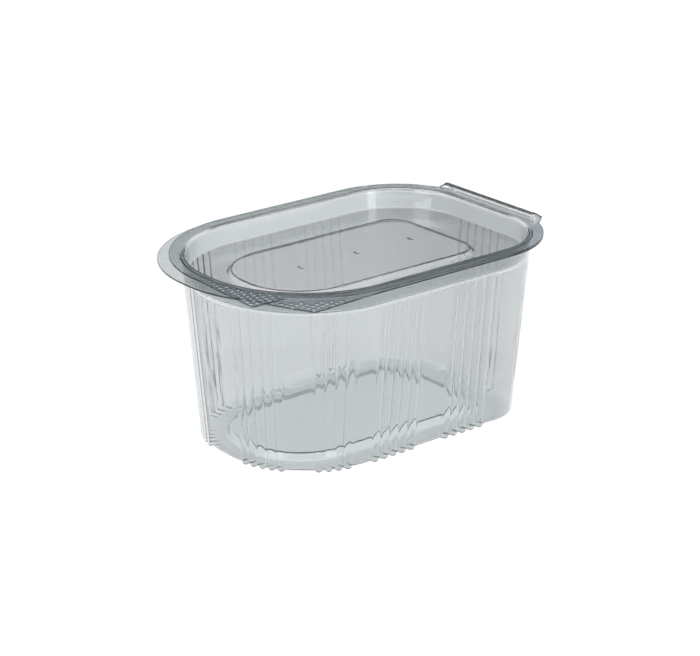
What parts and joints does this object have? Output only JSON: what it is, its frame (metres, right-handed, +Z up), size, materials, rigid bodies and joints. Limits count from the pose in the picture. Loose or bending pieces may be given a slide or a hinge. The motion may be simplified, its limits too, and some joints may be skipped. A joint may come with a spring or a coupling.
{
  "type": "hinged-lid sauce container",
  "caption": "Clear thermoformed plastic pot with a rounded oblong plan, drafted wall with groups of vertical flutes, and a plug lid that swings on a living hinge.",
  "frame": {"origin": "middle of the tub's base, on the plane of its standing ring", "axes": "+Z up, +Y along the length towards the hinge, +X across the width towards the grip tabs"},
  "size_m": [0.0988, 0.146, 0.072],
  "materials": {
    "clear_pet": "clear, smooth, faintly grey PET film"
  },
  "bodies": {
    "tub": {"tub": "clear_pet"},
    "lid": {"lid": "clear_pet"}
  },
  "joints": [
    {"name": "lid_hinge", "type": "hinge", "parent": "tub", "child": "lid", "pos_m": [0, 0.072, 0.06905], "axis": [-1, 0, 0], "range_deg": [0, 180]}
  ]
}
